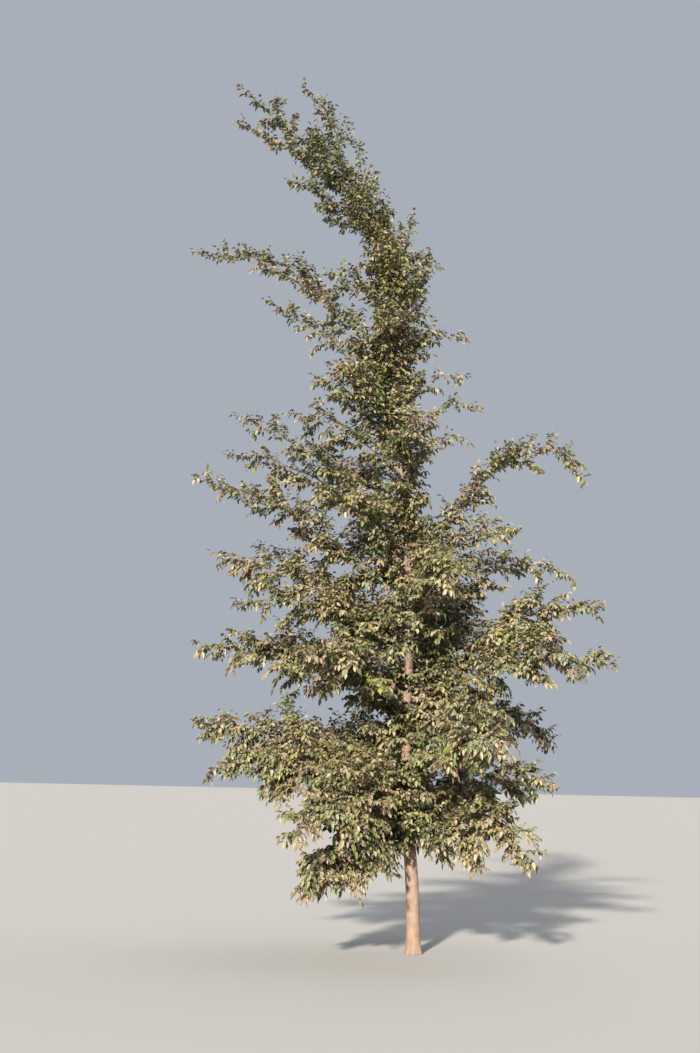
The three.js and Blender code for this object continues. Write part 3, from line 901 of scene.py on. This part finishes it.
# Bark: its plain colour and roughness where no texture shows, places and colours of its streaks, the colours
# that new and old patches lend it, and its pale dots
PLAIN_BARK = (0.42, 0.3, 0.22)
PLAIN_ROUGHNESS = 0.85
STREAKS = [
    (0.30, (0.205, 0.144, 0.104)),
    (0.50, (0.33, 0.224, 0.156)),
    (0.70, (0.42, 0.29, 0.208)),
]
NEW_BARK = (0.52, 0.318, 0.211)
NEW_BARK_SHARE = 0.55
OLD_BARK = (0.33, 0.268, 0.228)
OLD_BARK_SHARE = 0.45
PATCH_EDGES = (0.44, 0.56)
DOTS = (0.66, 0.475, 0.358)
DOT_EDGES = (0.62, 0.70)
DOT_SHARE = 0.55

# Roughness of the bark from old patches to new ones, and the edges of the change
BARK_ROUGHNESS = (0.92, 0.74)
ROUGHNESS_EDGES = (0.4, 0.6)

# Noise of the bark: scale and detail, and the share of the finest in the bump
STREAK_NOISE = (46, 6)
PATCH_NOISE = (17, 4)
DOT_NOISE = (210, 2)
FINE_NOISE = (160, 4)
FINE_STRETCH = (1, 1, 0.5)
FINE_SHARE = 0.35
BUMP_STRENGTH = 0.6
BUMP_DISTANCE = 0.003
TRUNK_STREAKS = (1, 1, 0.16)
TRUNK_TONE = 0.6
BOUGH_TONE = 0.56
EVEN = (1, 1, 1)


def bark_material(name, stretch, tone):
    """Lacy bark: streaks up the limb, patches of warm new bark among grey, and pale dots."""

    def toned(colour):
        return tuple(part * tone for part in colour)

    material = material_of(name, PLAIN_BARK, PLAIN_ROUGHNESS)
    tree = material.node_tree
    shader = tree.nodes["Principled BSDF"]
    place = tree.nodes.new("ShaderNodeTexCoord").outputs["Object"]
    streaks = noise(tree, place, stretch, *STREAK_NOISE)
    patches = noise(tree, place, tuple(0.5 + part / 2 for part in stretch), *PATCH_NOISE)
    dots = noise(tree, place, EVEN, *DOT_NOISE)
    base = ramp(tree, streaks, [(edge, toned(colour)) for edge, colour in STREAKS])
    new = mix(tree, NEW_BARK_SHARE, base, (*toned(NEW_BARK), 1))
    old = mix(tree, OLD_BARK_SHARE, base, (*toned(OLD_BARK), 1))
    is_new = ramp(tree, patches, list(zip(PATCH_EDGES, (grey(0), grey(1)))))
    is_dot = ramp(tree, dots, list(zip(DOT_EDGES, (grey(0), grey(DOT_SHARE)))))
    dotted = mix(tree, is_dot, mix(tree, is_new, old, new), (*toned(DOTS), 1))
    tree.links.new(dotted, shader.inputs["Base Color"])
    rough = ramp(tree, patches, list(zip(ROUGHNESS_EDGES, map(grey, BARK_ROUGHNESS))))
    tree.links.new(rough, shader.inputs["Roughness"])
    bump = tree.nodes.new("ShaderNodeBump")
    bump.inputs["Strength"].default_value = BUMP_STRENGTH
    bump.inputs["Distance"].default_value = BUMP_DISTANCE
    height = mix(tree, FINE_SHARE, streaks, noise(tree, place, FINE_STRETCH, *FINE_NOISE))
    tree.links.new(height, bump.inputs["Height"])
    tree.links.new(bump.outputs["Normal"], shader.inputs["Normal"])
    return material


def leaf_material(name, colour, roughness):
    material = material_of(f"leaf_{name}", colour, roughness)
    set_gloss(material, LEAF_GLOSS)
    return material


# Pieces
crown = grow_crown()
trunk_bark = bark_material("bark_of_trunk", TRUNK_STREAKS, TRUNK_TONE)
bough_bark = bark_material("bark_of_boughs", EVEN, BOUGH_TONE)
twig_bark = material_of("bark_of_twigs", colour=(0.12, 0.08, 0.052), roughness=0.8)
leaf_materials = [leaf_material(*row[:3]) for row in TINTS]

trunk = mesh_piece("trunk_bark", *trunk_mesh(), "bark", [trunk_bark])
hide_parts("trunk")
boughs = mesh_piece("boughs_bark", *bough_mesh(), "bark", [bough_bark])
nodes = sorted(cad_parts)
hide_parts(*[name for name in nodes if name.startswith("bough_")])
for foliage in crown:
    mesh_piece(f"twigs_{foliage.name}", *twig_mesh(foliage), "bark", [twig_bark])
    points, faces, tints = leaf_mesh(foliage)
    leaves = mesh_piece(f"leaves_{foliage.name}", points, faces, "foliage", leaf_materials, tints)
    masses = [name for name in nodes if name.startswith(f"foliage_{foliage.name}_")]
    if masses:
        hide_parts(*masses)

# Studio: a pale floor, a pale sky of soft light, a low sun from the front and a soft light from behind
FLOOR_HALF = 600
SKY_COLOUR = (0.74, 0.81, 0.92, 1)
SKY_STRENGTH = 0.53

corners = [(x * FLOOR_HALF, y * FLOOR_HALF, 0.0) for x, y in ((-1, -1), (1, -1), (1, 1), (-1, 1))]
floor_mesh = bpy.data.meshes.new("floor")
floor_mesh.from_pydata(corners, [], [(0, 1, 2, 3)])
floor_pale = material_of("floor_pale", colour=(0.34, 0.33, 0.315), roughness=1.0)
set_gloss(floor_pale, 0)
floor_mesh.materials.append(floor_pale)
floor = bpy.data.objects.new("floor", floor_mesh)
bpy.context.collection.objects.link(floor)

scene = bpy.context.scene
world = bpy.data.worlds.new("pale_sky")
world.use_nodes = True
world.node_tree.nodes["Background"].inputs["Color"].default_value = SKY_COLOUR
world.node_tree.nodes["Background"].inputs["Strength"].default_value = SKY_STRENGTH
scene.world = world


def add_sun(name, energy, width, colour, turn, height):
    """Light from far away. Its disc's width, its turn seen from above and its height are in degrees."""
    light = bpy.data.lights.new(name, "SUN")
    light.energy = energy
    light.angle = math.radians(width)
    light.color = colour
    sun = bpy.data.objects.new(name, light)
    sun.rotation_euler = (math.radians(90 - height), 0, math.radians(turn + 90))
    bpy.context.collection.objects.link(sun)


add_sun("low_sun", energy=10.5, width=3, colour=(1.0, 0.93, 0.82), turn=SUN_TURN, height=SUN_HEIGHT)
add_sun("back_fill", energy=1.9, width=90, colour=(0.90, 0.95, 1.0), turn=60, height=40)

# Camera at the photograph's place, turned and pitched in degrees and rolled in radians as it was
CAMERA_PITCH = 10.9
CAMERA_YAW = 2.946895
CAMERA_ROLL = 0.022
CAMERA_LENS = 46.154
SENSOR_WIDTH = 36
FARTHEST_SEEN = 1000

pitch, yaw = math.radians(CAMERA_PITCH), math.radians(CAMERA_YAW)
ahead = np.array((-math.sin(yaw) * math.cos(pitch), math.cos(yaw) * math.cos(pitch), math.sin(pitch)))
level = np.array((math.cos(yaw), math.sin(yaw), 0.0))
upright = np.cross(level, ahead)
right = level * math.cos(CAMERA_ROLL) + upright * math.sin(CAMERA_ROLL)
top = upright * math.cos(CAMERA_ROLL) - level * math.sin(CAMERA_ROLL)
camera_data = bpy.data.cameras.new("camera")
camera_data.lens = CAMERA_LENS
camera_data.sensor_width = SENSOR_WIDTH
camera_data.clip_end = FARTHEST_SEEN
camera = bpy.data.objects.new("camera", camera_data)
turned = Matrix(np.column_stack((right, top, -ahead)).tolist()).to_4x4()
camera.matrix_world = Matrix.Translation(CAMERA_PLACE) @ turned
bpy.context.collection.objects.link(camera)
scene.camera = camera
scene.view_settings.view_transform = "Standard"
